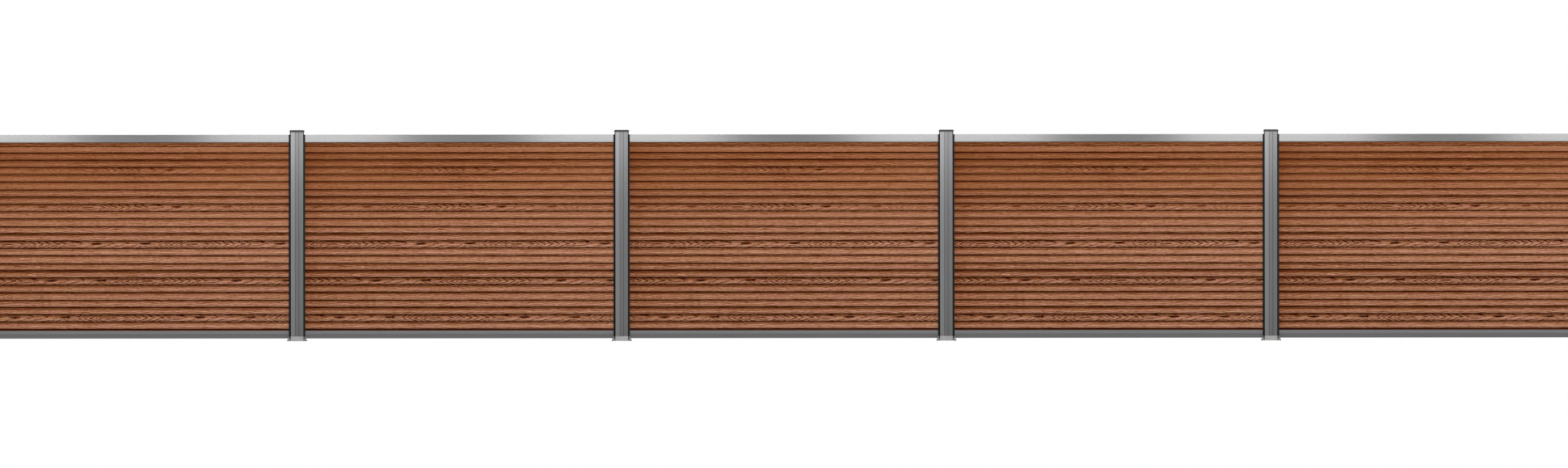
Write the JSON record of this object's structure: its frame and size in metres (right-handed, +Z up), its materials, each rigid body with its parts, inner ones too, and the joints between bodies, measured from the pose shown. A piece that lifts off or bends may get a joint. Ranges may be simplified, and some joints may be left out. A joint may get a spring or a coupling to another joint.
{
  "type": "composite fence",
  "caption": "Low garden fence run: hollow grooved wood-look boards stacked between capped aluminium posts on bolted feet, held by aluminium rails at top and bottom.",
  "frame": {"origin": "on the underside of the first post's base plate, at its middle", "axes": "+X along the fence towards the last post, front faces -Y, +Z up"},
  "size_m": [9.314, 0.114, 1.196],
  "materials": {
    "composite_board": "brushed wood-plastic composite",
    "post_aluminium": "anodised",
    "top_rail_aluminium": "anodised",
    "bottom_rail_aluminium": "anodised",
    "cap_plastic": "moulded",
    "foot_aluminium": "cast, blasted",
    "anchor_steel": "zinc-plated",
    "liner_rubber": "matt"
  },
  "bodies": {
    "root": {"post_1": "post_aluminium", "post_2": "post_aluminium", "post_3": "post_aluminium", "post_4": "post_aluminium", "post_5": "post_aluminium", "post_6": "post_aluminium", "post_cap_1": "cap_plastic", "post_cap_2": "cap_plastic", "post_cap_3": "cap_plastic", "post_cap_4": "cap_plastic", "post_cap_5": "cap_plastic", "post_cap_6": "cap_plastic", "post_foot_1": "foot_aluminium", "post_foot_2": "foot_aluminium", "post_foot_3": "foot_aluminium", "post_foot_4": "foot_aluminium", "post_foot_5": "foot_aluminium", "post_foot_6": "foot_aluminium", "board_panel_1": "composite_board", "board_panel_2": "composite_board", "board_panel_3": "composite_board", "board_panel_4": "composite_board", "board_panel_5": "composite_board", "top_rail_1": "top_rail_aluminium", "top_rail_2": "top_rail_aluminium", "top_rail_3": "top_rail_aluminium", "top_rail_4": "top_rail_aluminium", "top_rail_5": "top_rail_aluminium", "bottom_rail_1": "bottom_rail_aluminium", "bottom_rail_2": "bottom_rail_aluminium", "bottom_rail_3": "bottom_rail_aluminium", "bottom_rail_4": "bottom_rail_aluminium", "bottom_rail_5": "bottom_rail_aluminium", "liner_left_1": "liner_rubber", "liner_left_2": "liner_rubber", "liner_left_3": "liner_rubber", "liner_left_4": "liner_rubber", "liner_left_5": "liner_rubber", "liner_right_1": "liner_rubber", "liner_right_2": "liner_rubber", "liner_right_3": "liner_rubber", "liner_right_4": "liner_rubber", "liner_right_5": "liner_rubber", "end_cover_left": "post_aluminium", "end_cover_right": "post_aluminium"}
  },
  "joints": []
}
